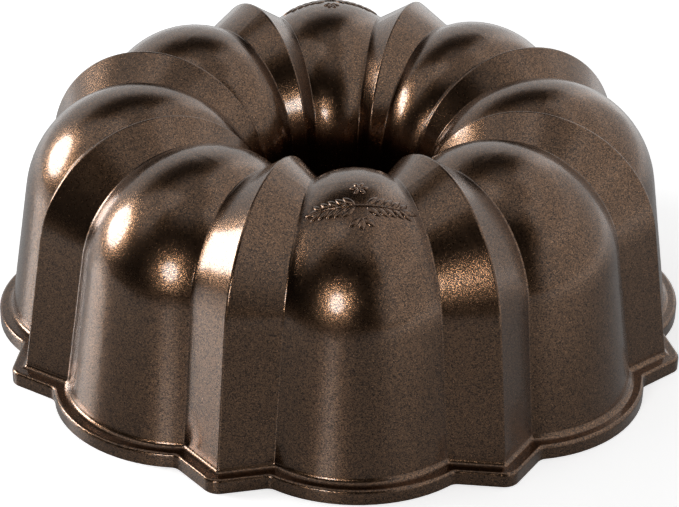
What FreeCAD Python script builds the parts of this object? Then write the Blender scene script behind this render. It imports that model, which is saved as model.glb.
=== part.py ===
"""Fluted ring-cake pan (bundt pan), standing crown up on its rim.  Millimetres and degrees.

The pan is one thin casting with a sprayed coat outside and a non-stick lining on the food side.
All its faces come from three lines that run from the rim, up the wall, over the crown and down
the centre tube:

    lobe line    along the middle of each round lobe
    crease line  where a lobe meets a ridge
    ridge line   along the sharp edge of each V-shaped ridge

A skin is the fluted surface carried by these three lines at one depth under the outside surface.
A sub-part is the metal or the coat between two skins.
"""

import FreeCAD
import Part
import math
import os
from collections import namedtuple

Vector = FreeCAD.Vector

SIZES = (
    ("flute_count", "8", "number of round lobes, with as many ridges between them"),
    ("lobe_radius", "128.4", "lobe line to the axis, at the top face of the rim"),
    ("ridge_proud", "1.6", "how far a ridge stands out beyond the lobes"),
    ("crease_depth", "7.6", "how far a crease lies inside the lobes"),
    ("lobe_height", "94.7", "highest point of the lobe line"),
    ("ridge_rise", "2.5", "how far a ridge stands above the lobes on the crown"),
    ("crease_drop", "5.3", "how far a crease lies below the lobes on the crown"),
    ("crown_centre_height", "50", "height of the centre of the outer crown arcs"),
    ("wall_draft", "9", "lean of the outer wall from the vertical"),
    ("tube_radius", "31.6", "lobe line to the axis, where the crown runs into the tube"),
    ("tube_ridge_depth", "0.4", "how far a ridge lies behind the lobes in the tube"),
    ("tube_crease_depth", "2.4", "how far a crease lies behind the lobes in the tube"),
    ("tube_draft", "6", "lean of the tube wall from the vertical"),
    ("tube_end_height", "4", "height of the tube's lower end above the rim's bottom"),
    ("ridge_angle_rim", "8", "from ridge line to crease line seen from above, at the rim"),
    ("ridge_angle_crown", "9.1", "the same angle at the crown"),
    ("ridge_angle_tube", "7.5", "the same angle at the end of the tube"),
    ("ridge_edge_round", "1", "rounding of a ridge's edge"),
    ("crease_fillet", "0.8", "fillet in a crease"),
    ("ridge_root_fillet", "1.2", "fillet of the groove behind a ridge, on the food side"),
    ("rim_height", "5.5", "thickness of the rim flange"),
    ("rim_overhang", "5.1", "how far the rim flange stands out from the wall"),
    ("rim_edge_round", "1.2", "rounding of the rim's upper outer edge"),
    ("rim_wall_fillet", "2", "fillet between the rim and the wall"),
    ("rim_ridge_round", "6", "corner radius of the rim outline at a ridge"),
    ("rim_crease_round", "4", "corner radius of the rim outline at a crease"),
    ("metal_thickness", "3", "thickness of the casting"),
    ("coating_thickness", "0.3", "thickness of the outside coat"),
    ("lining_thickness", "0.3", "thickness of the food-side lining"),
)

doc = FreeCAD.newDocument("BundtPan")
sizes = doc.addObject("Spreadsheet::Sheet", "Sizes")
for row, (alias, value, meaning) in enumerate(SIZES, start=1):
    sizes.set("A%d" % row, meaning)
    sizes.set("B%d" % row, value)
    sizes.setAlias("B%d" % row, alias)
doc.recompute()

# ---------------------------------------------------------------- plan of one flute

wall_draft = math.radians(sizes.wall_draft)
tube_draft = math.radians(sizes.tube_draft)
angle_rim = math.radians(sizes.ridge_angle_rim)
angle_crown = math.radians(sizes.ridge_angle_crown)
angle_tube = math.radians(sizes.ridge_angle_tube)

flute_pitch = 2 * math.pi / sizes.flute_count
lobe_axis = flute_pitch / 2

ridge_radius = sizes.lobe_radius + sizes.ridge_proud
crease_radius = sizes.lobe_radius - sizes.crease_depth

# A ridge has two flat facets.  This is the angle between a facet's normal and the ridge's axis.
facet_turn = math.atan2(
    ridge_radius - crease_radius * math.cos(angle_rim),
    crease_radius * math.sin(angle_rim),
)
# A lobe is a circular arc over the chord between two creases.
lobe_half_chord = crease_radius * math.sin(lobe_axis - angle_rim)
lobe_sag = sizes.lobe_radius - crease_radius * math.cos(lobe_axis - angle_rim)
lobe_turn = 2 * math.atan2(lobe_sag, lobe_half_chord)
crease_half_turn = (facet_turn - lobe_axis + lobe_turn) / 2

skin_depths = {
    "outside": 0.0,
    "under_coating": sizes.coating_thickness,
    "under_lining": sizes.coating_thickness + sizes.metal_thickness,
    "food_side": sizes.coating_thickness + sizes.metal_thickness + sizes.lining_thickness,
}

# ---------------------------------------------------------------- the three lines

Line = namedtuple("Line", "foot_radius top_height tube_radius miter angles")

STRAIGHT_LINE_ANGLES = {
    "lobe": (lobe_axis,) * 3,
    "ridge": (0.0,) * 3,
}

lobe_line = Line(
    sizes.lobe_radius,
    sizes.lobe_height,
    sizes.tube_radius,
    1.0,
    STRAIGHT_LINE_ANGLES["lobe"],
)
crease_line = Line(
    crease_radius,
    sizes.lobe_height - sizes.crease_drop,
    sizes.tube_radius + sizes.tube_crease_depth,
    1 / math.cos(crease_half_turn),
    (angle_rim, angle_crown, angle_tube),
)
ridge_line = Line(
    ridge_radius,
    sizes.lobe_height + sizes.ridge_rise,
    sizes.tube_radius + sizes.tube_ridge_depth,
    1 / math.cos(facet_turn),
    STRAIGHT_LINE_ANGLES["ridge"],
)

WALL_TO_LEVEL = math.pi / 2 - wall_draft
TUBE_TO_LEVEL = math.pi / 2 - tube_draft


def point(radius, height, angle):
    return Vector(radius * math.cos(angle), radius * math.sin(angle), height)


def along(start, end, distance):
    """Point at a distance from start on the straight way to end."""
    way = end - start
    return start + way * (distance / way.Length)


def wall_radius(line, depth, height):
    """Radius of the drafted outer wall, at a height, of the skin at a depth."""
    offset = depth * line.miter / math.cos(wall_draft)
    return line.foot_radius - offset - math.tan(wall_draft) * (height - sizes.rim_height)


def crown_and_tube(line, depth):
    """Corners of the straight legs of crown and tube, and how far the two crown arcs reach
    back along the legs: (outer corner, inner corner, tube end, outer reach, inner reach)."""
    angle_at_crown, angle_at_tube = line.angles[1:]
    outer_arc = line.top_height - sizes.crown_centre_height
    outer_corner_radius = wall_radius(line, 0, line.top_height)
    top_radius = outer_corner_radius - outer_arc * math.tan(WALL_TO_LEVEL / 2)
    inner_arc = (top_radius - line.tube_radius) / math.cos(tube_draft)

    offset = depth * line.miter
    top = line.top_height - offset
    outer_reach = (outer_arc - offset) * math.tan(WALL_TO_LEVEL / 2)
    inner_reach = (inner_arc - offset) * math.tan(TUBE_TO_LEVEL / 2)
    inner_corner_radius = top_radius - inner_reach
    tube_end_radius = inner_corner_radius - math.tan(tube_draft) * (top - sizes.tube_end_height)
    return (
        point(wall_radius(line, depth, top), top, angle_at_crown),
        point(inner_corner_radius, top, angle_at_crown),
        point(tube_end_radius, sizes.tube_end_height, angle_at_tube),
        outer_reach,
        inner_reach,
    )


def outside_poles(line, depth):
    """Poles of one line with the rim flange: rim face, edge round, rim top, fillet, wall,
    outer crown arc, inner crown arc, tube."""
    angle_at_rim = line.angles[0]
    outer_corner, inner_corner, tube_end, outer_reach, inner_reach = crown_and_tube(line, depth)
    rim_top = sizes.rim_height - depth
    rim_radius = line.foot_radius + (sizes.rim_overhang - depth) * line.miter
    edge_round = sizes.rim_edge_round - depth
    fillet_reach = (sizes.rim_wall_fillet + depth) * math.tan(WALL_TO_LEVEL / 2)

    rim_bottom = point(rim_radius, 0, angle_at_rim)
    rim_edge = point(rim_radius, rim_top, angle_at_rim)
    wall_foot = point(wall_radius(line, depth, rim_top), rim_top, angle_at_rim)
    return [
        rim_bottom,
        along(rim_edge, rim_bottom, edge_round),
        rim_edge,
        along(rim_edge, wall_foot, edge_round),
        along(wall_foot, rim_edge, fillet_reach),
        wall_foot,
        along(wall_foot, outer_corner, fillet_reach),
        along(outer_corner, wall_foot, outer_reach),
        outer_corner,
        along(outer_corner, inner_corner, outer_reach),
        inner_corner,
        along(inner_corner, tube_end, inner_reach),
        tube_end,
    ]


def food_side_poles(line, depth):
    """Poles of one line on the food side: wall, outer crown arc, inner crown arc, tube."""
    angle_at_rim = line.angles[0]
    outer_corner, inner_corner, tube_end, outer_reach, inner_reach = crown_and_tube(line, depth)
    wall_bottom = point(wall_radius(line, depth, 0), 0, angle_at_rim)
    return [
        wall_bottom,
        along(outer_corner, wall_bottom, outer_reach),
        outer_corner,
        along(outer_corner, inner_corner, outer_reach),
        inner_corner,
        along(inner_corner, tube_end, inner_reach),
        tube_end,
    ]


# Stretches of a line as (first pole, degree, weight of the middle pole).  An arc of a circle
# has degree 2, and its middle pole weighs the cosine of half its turn.
CROWN_STRETCHES = (
    (1, 2, math.cos(WALL_TO_LEVEL / 2)),
    (3, 2, math.cos(TUBE_TO_LEVEL / 2)),
    (5, 1, None),
)
FOOD_SIDE_STRETCHES = ((0, 1, None),) + CROWN_STRETCHES
RIM_POLES = 6
OUTSIDE_STRETCHES = (
    (0, 1, None),
    (1, 2, math.cos(math.pi / 4)),
    (3, 1, None),
    (4, 2, math.cos(WALL_TO_LEVEL / 2)),
    (RIM_POLES, 1, None),
) + tuple((first + RIM_POLES, degree, weight) for first, degree, weight in CROWN_STRETCHES)

# The rim's own corner radii hold up to here, and the wall's from the next pole on.
LAST_RIM_OUTLINE_POLE = 3

# ---------------------------------------------------------------- one flute, across

# Strips across one flute, counted round the axis: fillet, facet, ridge edge, facet, fillet, lobe.
STRIPS = (
    (0, 2, math.cos(crease_half_turn)),
    (2, 1, None),
    (3, 2, math.cos(facet_turn)),
    (5, 1, None),
    (6, 2, math.cos(crease_half_turn)),
    (8, 2, math.cos(lobe_turn)),
)


def mirrored(place, axis_angle):
    """The place on the other side of the upright plane through the axis at an angle."""
    twice = 2 * axis_angle
    return Vector(
        place.x * math.cos(twice) + place.y * math.sin(twice),
        place.x * math.sin(twice) - place.y * math.cos(twice),
        place.z,
    )


def flute_poles(lobe, crease, ridge, ridge_round, crease_round):
    """Poles across one flute, whose ridge points along +X, from points on the three lines."""
    lobe_weight = math.cos(lobe_turn)
    chord_middle = (crease + mirrored(crease, lobe_axis)) * 0.5
    untrimmed = (lobe * (1 + lobe_weight) - chord_middle) * (1 / lobe_weight)
    trim = crease_round * math.tan(crease_half_turn) / (untrimmed - crease).Length
    lobe_middle = lobe * (1 + lobe_weight) - chord_middle * (1 - trim)
    lobe_middle = lobe_middle * (1 / (lobe_weight + trim))

    fillet_on_lobe = crease + (lobe_middle - crease) * trim
    fillet_on_facet = along(crease, ridge, crease_round * math.tan(crease_half_turn))
    edge_on_facet = along(ridge, crease, ridge_round * math.tan(facet_turn))
    half = [edge_on_facet, fillet_on_facet, crease, fillet_on_lobe]
    other_half = [mirrored(place, 0) for place in reversed(half)]
    return other_half + [ridge] + half + [lobe_middle, mirrored(fillet_on_lobe, lobe_axis)]


def corner_rounds(depth, with_rim, pole):
    """Radius at the ridge and at the crease, of the skin at a depth, at one pole."""
    if not with_rim:
        behind = skin_depths["food_side"] - depth
        return sizes.ridge_root_fillet + behind, sizes.crease_fillet + depth
    if pole <= LAST_RIM_OUTLINE_POLE:
        return sizes.rim_ridge_round - depth, sizes.rim_crease_round + depth
    return sizes.ridge_edge_round - depth, sizes.crease_fillet + depth


def skin_grid(depth, with_rim):
    """All poles of one flute: a row across the flute for each pole of the three lines."""
    poles_of = outside_poles if with_rim else food_side_poles
    places = zip(
        poles_of(lobe_line, depth), poles_of(crease_line, depth), poles_of(ridge_line, depth)
    )
    return [
        flute_poles(lobe, crease, ridge, *corner_rounds(depth, with_rim, pole))
        for pole, (lobe, crease, ridge) in enumerate(places)
    ]


# ---------------------------------------------------------------- faces


def weights_of(degree, middle):
    return [1.0, 1.0] if degree == 1 else [1.0, middle, 1.0]


def turned(place, flute):
    """The place on another flute; the lobes sit on the X and Y axes."""
    angle = lobe_axis + flute * flute_pitch
    return Vector(
        place.x * math.cos(angle) - place.y * math.sin(angle),
        place.x * math.sin(angle) + place.y * math.cos(angle),
        place.z,
    )


def skin_faces(depth, with_rim):
    grid = skin_grid(depth, with_rim)
    stretches = OUTSIDE_STRETCHES if with_rim else FOOD_SIDE_STRETCHES
    faces = []
    for flute in range(int(sizes.flute_count)):
        for first_column, across, across_middle in STRIPS:
            for first_row, up, up_middle in stretches:
                poles = [
                    [
                        turned(grid[first_row + j][first_column + i], flute)
                        for j in range(up + 1)
                    ]
                    for i in range(across + 1)
                ]
                weights = [
                    [a * b for b in weights_of(up, up_middle)]
                    for a in weights_of(across, across_middle)
                ]
                surface = Part.BSplineSurface()
                surface.buildFromPolesMultsKnots(
                    poles,
                    [across + 1] * 2,
                    [up + 1] * 2,
                    [0.0, 1.0],
                    [0.0, 1.0],
                    False,
                    False,
                    across,
                    up,
                    weights,
                )
                faces.append(surface.toShape())
    return faces


def outline(depth, with_rim, row):
    """Closed outline of a skin at its first row, on the rim's bottom, or its last, at the tube."""
    across_poles = skin_grid(depth, with_rim)[row]
    edges = []
    for flute in range(int(sizes.flute_count)):
        for first_column, across, across_middle in STRIPS:
            curve = Part.BSplineCurve()
            curve.buildFromPolesMultsKnots(
                [turned(across_poles[first_column + i], flute) for i in range(across + 1)],
                [across + 1] * 2,
                [0.0, 1.0],
                False,
                across,
                weights_of(across, across_middle),
            )
            edges.append(curve.toShape())
    return Part.Wire(edges)


def wall_between(outer_depth, outer_has_rim, inner_depth, inner_has_rim):
    """Solid between two skins, closed by a level ring under the rim and one at the tube's end."""
    rings = [
        Part.makeFace(
            [outline(outer_depth, outer_has_rim, row), outline(inner_depth, inner_has_rim, row)],
            "Part::FaceMakerBullseye",
        )
        for row in (0, -1)
    ]
    shell = Part.makeShell(
        skin_faces(outer_depth, outer_has_rim) + skin_faces(inner_depth, inner_has_rim) + rings
    )
    shell.sewShape()
    solid = Part.makeSolid(shell)
    if solid.Volume < 0:
        solid.reverse()
    return solid


# ---------------------------------------------------------------- the pieces


def add_piece(label, shape):
    piece = doc.addObject("Part::Feature", label)
    piece.Label = label
    piece.Shape = shape
    piece.Placement = FreeCAD.Placement()
    return piece


pieces = [
    add_piece(
        "outer_coating",
        wall_between(skin_depths["outside"], True, skin_depths["under_coating"], True),
    ),
    add_piece(
        "pan_casting",
        wall_between(skin_depths["under_coating"], True, skin_depths["under_lining"], False),
    ),
    add_piece(
        "nonstick_lining",
        wall_between(skin_depths["under_lining"], False, skin_depths["food_side"], False),
    ),
]
doc.recompute()

for item in doc.Objects:
    if {"Invalid", "Error"} & set(item.State):
        raise RuntimeError("%s failed: %s" % (item.Label, item.State))
for piece in pieces:
    if piece.Shape.isNull() or not piece.Shape.isValid() or len(piece.Shape.Solids) != 1:
        raise RuntimeError("%s has no valid single solid" % piece.Label)

os.makedirs("parts", exist_ok=True)
for piece in pieces:
    piece.Shape.exportStep(os.path.join("parts", piece.Label + ".step"))
    box = piece.Shape.BoundBox
    print(
        "%-16s volume %9.0f mm3  size %.2f x %.2f x %.2f  lowest %.3f"
        % (piece.Label, piece.Shape.Volume, box.XLength, box.YLength, box.ZLength, box.ZMin)
    )
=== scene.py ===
import math

import bmesh
import bpy
from mathutils import Matrix, Vector
from mathutils.bvhtree import BVHTree


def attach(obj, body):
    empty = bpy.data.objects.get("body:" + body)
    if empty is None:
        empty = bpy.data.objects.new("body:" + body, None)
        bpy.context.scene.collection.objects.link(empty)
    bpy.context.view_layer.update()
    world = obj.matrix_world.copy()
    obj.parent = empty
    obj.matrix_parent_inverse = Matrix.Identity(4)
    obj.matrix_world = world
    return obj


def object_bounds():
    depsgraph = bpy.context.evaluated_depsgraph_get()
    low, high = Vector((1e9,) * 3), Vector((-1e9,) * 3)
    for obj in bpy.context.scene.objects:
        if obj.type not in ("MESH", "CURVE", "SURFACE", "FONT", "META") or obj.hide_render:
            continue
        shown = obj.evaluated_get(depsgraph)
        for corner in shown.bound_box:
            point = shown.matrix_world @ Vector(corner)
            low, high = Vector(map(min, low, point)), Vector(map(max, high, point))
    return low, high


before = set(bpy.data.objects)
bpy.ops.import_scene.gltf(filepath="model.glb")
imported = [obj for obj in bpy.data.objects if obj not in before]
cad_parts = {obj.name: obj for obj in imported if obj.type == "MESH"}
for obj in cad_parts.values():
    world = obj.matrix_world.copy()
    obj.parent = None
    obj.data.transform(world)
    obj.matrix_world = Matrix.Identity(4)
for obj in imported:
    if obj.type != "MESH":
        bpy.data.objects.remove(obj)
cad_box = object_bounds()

MM = 0.001
BLACK = (0, 0, 0, 1)

# ---------------------------------------------------------------- camera

# The camera stands in front of the pan and a little to its left, and looks down on it.
CAMERA_DISTANCE = 815.3 * MM
CAMERA_ELEVATION = math.radians(29.30)
CAMERA_AZIMUTH = math.radians(-4.02)
CAMERA_ROLL = math.radians(1.00)
CAMERA_LENS = 110.5
AIM_SIDE = -0.64 * MM
AIM_HEIGHT = 23.5 * MM
FAR_CLIP = 20


def add_camera():
    ahead = Vector((0, math.cos(CAMERA_ELEVATION), -math.sin(CAMERA_ELEVATION)))
    aim = Vector((AIM_SIDE, 0, AIM_HEIGHT))
    place = Matrix.Translation(aim - ahead * CAMERA_DISTANCE)
    look = ahead.to_track_quat("-Z", "Y").to_matrix().to_4x4()
    roll = Matrix.Rotation(CAMERA_ROLL, 4, "Z")
    camera = bpy.data.objects.new("camera", bpy.data.cameras.new("camera"))
    camera.data.lens = CAMERA_LENS
    camera.data.clip_end = FAR_CLIP
    camera.matrix_world = Matrix.Rotation(CAMERA_AZIMUTH, 4, "Z") @ place @ look @ roll
    bpy.context.scene.collection.objects.link(camera)
    bpy.context.scene.camera = camera


# ---------------------------------------------------------------- shader tools


class Value:
    """A number that varies over a surface, and can be added, subtracted and multiplied."""

    def __init__(self, graph, socket):
        self.graph = graph
        self.socket = socket

    def __add__(self, other):
        return self.graph.maths("ADD", self, other)

    __radd__ = __add__

    def __sub__(self, other):
        return self.graph.maths("SUBTRACT", self, other)

    def __rsub__(self, other):
        return self.graph.maths("SUBTRACT", other, self)

    def __mul__(self, other):
        return self.graph.maths("MULTIPLY", self, other)

    __rmul__ = __mul__

    def __abs__(self):
        return self.graph.maths("ABSOLUTE", self)


class Graph:
    """A tree of shader nodes."""

    def __init__(self, owner):
        owner.use_nodes = True
        self.tree = owner.node_tree
        self.tree.nodes.clear()

    def fill(self, socket, value):
        if isinstance(value, Value):
            self.tree.links.new(value.socket, socket)
        else:
            socket.default_value = value

    def add(self, kind, settings, inputs, output=0):
        """A node of a kind, with its settings made first, then its inputs."""
        node = self.tree.nodes.new(kind)
        for name, value in settings.items():
            setattr(node, name, value)
        for name, value in inputs.items():
            self.fill(node.inputs[name], value)
        return Value(self, node.outputs[output])

    def maths(self, operation, *values):
        return self.add("ShaderNodeMath", {"operation": operation}, dict(enumerate(values)))

    def mix(self, factor, first, second):
        """One colour turned into another by a factor from 0 to 1."""
        inputs = {"Factor_Float": factor, "A_Color": first, "B_Color": second}
        node = self.tree.nodes.new("ShaderNodeMix")
        node.data_type = "RGBA"
        for socket in node.inputs:
            if socket.identifier in inputs:
                self.fill(socket, inputs[socket.identifier])
        return Value(self, next(o for o in node.outputs if o.identifier == "Result_Color"))

    def ramp(self, value, low, high, to_low=0.0, to_high=1.0, smooth=False):
        """The value carried from one range to another, and held at the ends."""
        settings = {"interpolation_type": "SMOOTHSTEP" if smooth else "LINEAR"}
        inputs = {
            "Value": value,
            "From Min": low,
            "From Max": high,
            "To Min": to_low,
            "To Max": to_high,
        }
        return self.add("ShaderNodeMapRange", settings, inputs)

    def parts(self, vector):
        """The three parts of a vector."""
        node = self.tree.nodes.new("ShaderNodeSeparateXYZ")
        self.fill(node.inputs[0], vector)
        return [Value(self, socket) for socket in node.outputs]

    def seen(self):
        """1 where the camera sees the surface itself, and 0 where it is only lit or mirrored."""
        return self.add("ShaderNodeLightPath", {}, {}, "Is Camera Ray")


class Finish(Graph):
    """A material with one Principled shader."""

    def __init__(self, name):
        self.material = bpy.data.materials.new(name)
        super().__init__(self.material)
        self.shader = self.tree.nodes.new("ShaderNodeBsdfPrincipled")
        output = self.tree.nodes.new("ShaderNodeOutputMaterial")
        self.tree.links.new(self.shader.outputs[0], output.inputs["Surface"])

    def set(self, name, value):
        self.fill(self.shader.inputs[name], value)

    def on_object(self):
        return self.add("ShaderNodeTexCoord", {}, {}, "Object")

    def noise(self, size, detail=2.0, roughness=0.5):
        """Smooth noise from 0 to 1, whose features are about as large as size in metres."""
        inputs = {
            "Vector": self.on_object(),
            "Scale": 1 / size,
            "Detail": detail,
            "Roughness": roughness,
        }
        return self.add("ShaderNodeTexNoise", {}, inputs, "Fac")

    def cells(self, size):
        """A random number from 0 to 1 for each of the small cells that a surface is split into."""
        inputs = {"Vector": self.on_object(), "Scale": 1 / size}
        return self.parts(self.add("ShaderNodeTexVoronoi", {}, inputs, "Color"))[0]

    def bump(self, height, distance):
        inputs = {"Height": height, "Distance": distance, "Strength": 1.0}
        return self.add("ShaderNodeBump", {}, inputs)


# ---------------------------------------------------------------- lights

SOFTBOX_DISTANCE = 1.2
SOFTBOX_AIM = Vector((0, 0, 60 * MM))

# Round softboxes as the direction in degrees, where 0 is the front and -90 the left, the
# elevation, the width and height in metres, and the power in watts.
SOFTBOXES = (
    ("key", -106, 18, 0.60, 0.52, 10.0),
    ("front_left", -24.5, 18.5, 0.29, 0.31, 2.9),
)


def direction(azimuth, elevation):
    """Unit vector towards a compass direction in degrees: 0 is the front, -90 the left."""
    a, e = math.radians(azimuth), math.radians(elevation)
    return Vector((math.sin(a) * math.cos(e), -math.cos(a) * math.cos(e), math.sin(e)))


def add_softbox(name, azimuth, elevation, width, height, power):
    light = bpy.data.lights.new(name, "AREA")
    light.shape = "ELLIPSE"
    light.size = width
    light.size_y = height
    light.energy = power
    towards = direction(azimuth, elevation)
    softbox = bpy.data.objects.new(name, light)
    softbox.location = SOFTBOX_AIM + towards * SOFTBOX_DISTANCE
    softbox.rotation_mode = "QUATERNION"
    softbox.rotation_quaternion = towards.to_track_quat("Z", "Y")
    softbox.visible_camera = False
    bpy.context.scene.collection.objects.link(softbox)


# ---------------------------------------------------------------- studio walls

# Softly lit stretches of the studio round the pan, as the direction of the middle, half the
# width and half the height in degrees, the softness of the edge, and the brightness.
PANELS = (
    ("right_wall", 90, 2, 57, 24, 18, 0.80),
    ("right_upper", 95, 52, 55, 12, 15, 0.85),
    ("back_wall", -168, -5, 38, 33, 14, 0.78),
    ("ceiling", 0, 90, 180, 14, 20, 0.47),
    ("left_bounce", -98, 58, 20, 15, 14, 0.75),
)
DARK_CORNER = 0.01


class Studio(Graph):
    """The surroundings: a dark side behind the camera, and pale walls elsewhere."""

    def __init__(self):
        world = bpy.data.worlds.new("studio")
        bpy.context.scene.world = world
        super().__init__(world)
        x, y, z = self.parts(self.add("ShaderNodeTexCoord", {}, {}, "Generated"))
        self.azimuth = self.maths("DEGREES", self.maths("ARCTAN2", x, y * -1))
        self.elevation = self.maths("DEGREES", self.maths("ARCSINE", z))

    def panel(self, azimuth, elevation, half_width, half_height, edge, brightness):
        across = abs(self.maths("WRAP", self.azimuth - azimuth, 180, -180))
        up = abs(self.elevation - elevation)
        inside_width = self.ramp(across, half_width + edge, half_width, smooth=True)
        inside_height = self.ramp(up, half_height + edge, half_height, smooth=True)
        return inside_width * inside_height * brightness

    def finish(self):
        light = sum((self.panel(*panel[1:]) for panel in PANELS), DARK_CORNER)
        backdrop = self.tree.nodes.new("ShaderNodeBackground")
        self.fill(backdrop.inputs["Strength"], self.maths("MAXIMUM", light, self.seen()))
        output = self.tree.nodes.new("ShaderNodeOutputWorld")
        self.tree.links.new(backdrop.outputs[0], output.inputs["Surface"])


# ---------------------------------------------------------------- table

TABLE_SIZE = 30
TABLE_GAP = 0.05 * MM
TABLE_WHITE = (0.93, 0.93, 0.93, 1)
# The table as the pan mirrors it: a shaded grey copy of the white top, and painted shade that darkens
# it towards the front left.
TABLE_SHADED_GREY = (0.45, 0.45, 0.45, 1)
TABLE_PAINTED_SHADE = (0.03, 0.03, 0.03, 1)
TABLE_LIFT = (0.55, 0.55, 0.55, 1)
# Painted light: the colour with which the mirrored table glows far off, though no lamp lights it there.
PAINTED_GLOW_COLOUR = (0.48, 0.48, 0.48, 1)
TABLE_ROUGHNESS = 0.28
PAPER_ROUGHNESS = 0.9
# Where the painted shade on the mirrored table falls: its direction and the stretch over which it
# darkens.
PAINTED_SHADE_SIDE = direction(-32, 0)
PAINTED_SHADE_FROM, PAINTED_SHADE_TO = 0.28, 0.62
# The distances over which the painted glow on the mirrored table grows.
PAINTED_GLOW_FROM, PAINTED_GLOW_TO = 0.3, 0.9


def add_table():
    """White to the camera. Mirrored in the pan it is a glossy grey with painted shade, dark at the
    front left, and a painted glow bright far off.
    """
    bpy.ops.mesh.primitive_plane_add(size=TABLE_SIZE)
    table = bpy.context.object
    table.name = "table"
    table.location.z = cad_box[0].z - TABLE_GAP
    top = Finish("table_top")
    x, y, _ = top.parts(top.on_object())
    # Painted shade: the mirrored table turns dark towards the front left.
    front = top.ramp(x * PAINTED_SHADE_SIDE.x + y * PAINTED_SHADE_SIDE.y, PAINTED_SHADE_FROM, PAINTED_SHADE_TO, smooth=True)
    far = top.ramp(abs(x) + abs(y), PAINTED_GLOW_FROM, PAINTED_GLOW_TO)
    mirrored = top.mix(front, TABLE_SHADED_GREY, TABLE_PAINTED_SHADE)
    # Painted light: a glow only the pan's mirror sees, brighter far off and none in the painted shade.
    painted_glow = top.mix(far * (1 - front), BLACK, PAINTED_GLOW_COLOUR)
    seen = top.seen()
    top.set("Base Color", top.mix(seen, mirrored, TABLE_WHITE))
    top.set("Emission Color", top.mix(seen, painted_glow, TABLE_LIFT))
    top.set("Emission Strength", 1.0)
    top.set("Roughness", top.ramp(seen, 0, 1, TABLE_ROUGHNESS, PAPER_ROUGHNESS))
    table.data.materials.append(top.material)


# ---------------------------------------------------------------- finishes

FLAKE = 0.31 * MM
FLAKE_DARK = (0.016, 0.009, 0.005, 1)
FLAKE_BRIGHT = (0.300, 0.165, 0.090, 1)
FLAKE_COPPER = (0.500, 0.290, 0.165, 1)
FLAKE_DULL, FLAKE_SHINY = 0.28, 0.19
FLAKE_TILT = 0.045 * MM
COPPER_ABOVE = 0.95
FINE_FLAKE = 0.8 * FLAKE
CLOUD = 18 * MM
CLOUD_DARK, CLOUD_PALE = 0.75, 1.05
FILM = 0.9
FILM_ROUGHNESS = 0.14

# How many finer layers each noise has and, for the grain, how strong they are.
CLOUD_DETAIL = 3.0
TILT_DETAIL = 1.0
GRAIN = 3.0, 0.6
# The stretch of a grain's noise that the roughness of a surface follows.
GRAIN_RANGE = 0.3, 0.7


def bronze_coat():
    """Dark bronze coat full of metal flakes that face all ways, under a smooth clear film."""
    finish = Finish("bronze_flake_coat")
    flake = finish.cells(FLAKE)
    cloud = finish.ramp(finish.noise(CLOUD, CLOUD_DETAIL), 0, 1, CLOUD_DARK, CLOUD_PALE)
    copper = finish.ramp(finish.cells(FINE_FLAKE), COPPER_ABOVE, 1)
    ground = finish.mix(flake * cloud, FLAKE_DARK, FLAKE_BRIGHT)
    finish.set("Base Color", finish.mix(copper, ground, FLAKE_COPPER))
    finish.set("Metallic", 1.0)
    finish.set("Roughness", finish.ramp(flake, 0, 1, FLAKE_DULL, FLAKE_SHINY))
    finish.set("Coat Weight", FILM)
    finish.set("Coat Roughness", FILM_ROUGHNESS)
    finish.set("Normal", finish.bump(finish.noise(FINE_FLAKE, TILT_DETAIL), FLAKE_TILT))
    return finish.material


LINING_DARK = (0.030, 0.027, 0.025, 1)
LINING_PALE = (0.055, 0.050, 0.046, 1)
LINING_WARM = (0.035, 0.030, 0.027, 1)
LINING_GRAIN = 0.5 * MM
LINING_CLOUD = 25 * MM
LINING_RELIEF = 0.02 * MM
LINING_WARMTH = 0.4
LINING_METAL = 0.2
LINING_ROUGHNESS = 0.34, 0.44
LINING_FILM = 0.15
LINING_FILM_ROUGHNESS = 0.25


def nonstick_lining():
    """Charcoal nonstick film with a fine grain and faint clouds."""
    finish = Finish("nonstick_film")
    grain = finish.noise(LINING_GRAIN, *GRAIN)
    cloud = finish.noise(LINING_CLOUD)
    ground = finish.mix(grain, LINING_DARK, LINING_PALE)
    finish.set("Base Color", finish.mix(cloud * LINING_WARMTH, ground, LINING_WARM))
    finish.set("Metallic", LINING_METAL)
    finish.set("Roughness", finish.ramp(grain, *GRAIN_RANGE, *LINING_ROUGHNESS))
    finish.set("Coat Weight", LINING_FILM)
    finish.set("Coat Roughness", LINING_FILM_ROUGHNESS)
    finish.set("Normal", finish.bump(grain, LINING_RELIEF))
    return finish.material


ALUMINIUM_DARK = (0.50, 0.49, 0.48, 1)
ALUMINIUM_PALE = (0.72, 0.71, 0.70, 1)
CASTING_GRAIN = 0.35 * MM
CASTING_RELIEF = 0.03 * MM
CASTING_ROUGHNESS = 0.40, 0.55


def bare_casting():
    """Bare cast aluminium, as it shows on the level edges of the rim and the tube."""
    finish = Finish("as_cast_aluminium")
    grain = finish.noise(CASTING_GRAIN, *GRAIN)
    finish.set("Base Color", finish.mix(grain, ALUMINIUM_DARK, ALUMINIUM_PALE))
    finish.set("Metallic", 1.0)
    finish.set("Roughness", finish.ramp(grain, *GRAIN_RANGE, *CASTING_ROUGHNESS))
    finish.set("Normal", finish.bump(grain, CASTING_RELIEF))
    return finish.material


# ---------------------------------------------------------------- relief on two lobes

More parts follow.
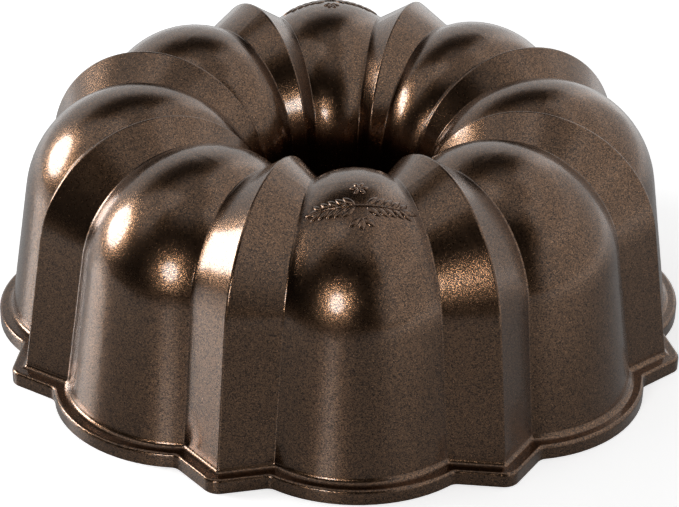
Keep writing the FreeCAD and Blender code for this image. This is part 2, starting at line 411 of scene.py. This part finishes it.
RELIEF_HEIGHT = 0.60 * MM
RELIEF_ROOT = 0.20 * MM
STEM_RADIUS = 90 * MM
STEM_LENGTH = 33 * MM
STEM_WIDTH = 1.0 * MM
LEAF_PAIRS = 5
LEAF_LENGTH = 6.0 * MM
LEAF_WIDTH = 2.5 * MM
LEAF_LEAN = math.radians(42)
LEAF_TAPER = 0.06
FIRST_LEAF = 1.8 * MM
LEAF_STEP = 2.9 * MM
ROSETTE_INWARD = 9.0 * MM
PETALS = 6
PETAL_LENGTH = 3.0 * MM
PETAL_WIDTH = 1.8 * MM
PETAL_OUT = 0.7 * PETAL_LENGTH
BUD_OUTWARD = 7.2 * MM
BUD_SPREAD = math.radians(50)
BUD_LEAF = 0.8 * LEAF_LENGTH
BUD_REACH, BUD_ARCH = 0.5 * LEAF_LENGTH, 0.3 * LEAF_LENGTH
START_ABOVE = 1.0
DOWN = Vector((0, 0, -1))
DOME_ROUND, DOME_LONG = 16, 20


class Relief:
    """Low raised leaves on the crown of a lobe, each one a small closed dome rooted in the coat."""

    def __init__(self, name, coat, lobe):
        self.name = name
        self.lobe = math.radians(lobe)
        self.skin = BVHTree.FromObject(coat, bpy.context.evaluated_depsgraph_get())
        self.mesh = bmesh.new()

    def on_coat(self, along, outward, up):
        """A point along the arc of the stem and outward of it, raised off the coat."""
        angle = self.lobe + along / STEM_RADIUS
        radius = STEM_RADIUS + outward
        top = cad_box[1].z
        above = Vector((radius * math.sin(angle), -radius * math.cos(angle), top + START_ABOVE))
        point, normal, _, _ = self.skin.ray_cast(above, DOWN)
        return point + normal * up

    def dome(self, along, outward, length, width, heading=0.0, pointed=True):
        """A dome whose middle is along and outward, and that runs on a heading from the stem."""
        ball = bmesh.ops.create_uvsphere(
            self.mesh, u_segments=DOME_ROUND, v_segments=DOME_LONG, radius=1
        )
        c, s = math.cos(heading), math.sin(heading)
        for vertex in ball["verts"]:
            across, up, forward = vertex.co
            if pointed:
                across *= math.sqrt(max(0, 1 - forward * forward))
            forward *= length / 2
            across *= width / 2
            up *= RELIEF_HEIGHT if up > 0 else RELIEF_ROOT
            to_side = outward + forward * s + across * c
            vertex.co = self.on_coat(along + forward * c - across * s, to_side, up)

    def branch(self, side):
        """Leaves in pairs on one half of the stem, smaller towards the tip, and one at the tip."""
        ahead = 0 if side > 0 else math.pi
        for pair in range(LEAF_PAIRS):
            size = 1 - LEAF_TAPER * pair
            length, width = LEAF_LENGTH * size, LEAF_WIDTH * size
            along = FIRST_LEAF + LEAF_STEP * pair + length / 2 * math.cos(LEAF_LEAN)
            outward = STEM_WIDTH / 4 + length / 2 * math.sin(LEAF_LEAN)
            for edge in (-1, 1):
                heading = ahead + side * edge * LEAF_LEAN
                self.dome(side * along, edge * outward, length, width, heading)
        self.dome(side * STEM_LENGTH / 2, 0, LEAF_LENGTH, LEAF_WIDTH)

    def rosette(self):
        """Blunt petals round a button."""
        for petal in range(PETALS):
            turn = 2 * math.pi / PETALS * petal
            along = PETAL_OUT * math.cos(turn)
            outward = PETAL_OUT * math.sin(turn) - ROSETTE_INWARD
            self.dome(along, outward, PETAL_LENGTH, PETAL_WIDTH, turn, pointed=False)
        self.dome(0, -ROSETTE_INWARD, PETAL_WIDTH, PETAL_WIDTH, pointed=False)

    def bud(self):
        """Three leaves that fan out."""
        for lean in (-BUD_SPREAD, 0, BUD_SPREAD):
            along = BUD_REACH * math.sin(lean)
            outward = BUD_OUTWARD - BUD_ARCH * (1 - math.cos(lean))
            self.dome(along, outward, BUD_LEAF, LEAF_WIDTH, math.pi / 2 - lean)

    def finish(self, material):
        bmesh.ops.recalc_face_normals(self.mesh, faces=self.mesh.faces)
        data = bpy.data.meshes.new(self.name)
        self.mesh.to_mesh(data)
        self.mesh.free()
        data.shade_smooth()
        data.materials.append(material)
        piece = bpy.data.objects.new(self.name, data)
        bpy.context.scene.collection.objects.link(piece)
        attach(piece, "root")


def add_sprig(name, coat, lobe):
    """A stem with leaves towards both ends, a rosette on the tube's side and a bud opposite."""
    relief = Relief(name, coat, lobe)
    relief.dome(0, 0, STEM_LENGTH, STEM_WIDTH)
    relief.branch(-1)
    relief.branch(1)
    relief.rosette()
    relief.bud()
    relief.finish(coat.material_slots[0].material)


# ---------------------------------------------------------------- the pan in the studio

FINISHES = (
    ("outer_coating", bronze_coat),
    ("nonstick_lining", nonstick_lining),
    ("pan_casting", bare_casting),
)
for node, finish in FINISHES:
    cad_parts[node].material_slots[0].material = finish()
for name, lobe in (("front_lobe_sprig", 0), ("back_lobe_sprig", 180)):
    add_sprig(name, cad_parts["outer_coating"], lobe)

add_camera()
Studio().finish()
add_table()
for softbox in SOFTBOXES:
    add_softbox(*softbox)
bpy.context.scene.view_settings.view_transform = "Standard"
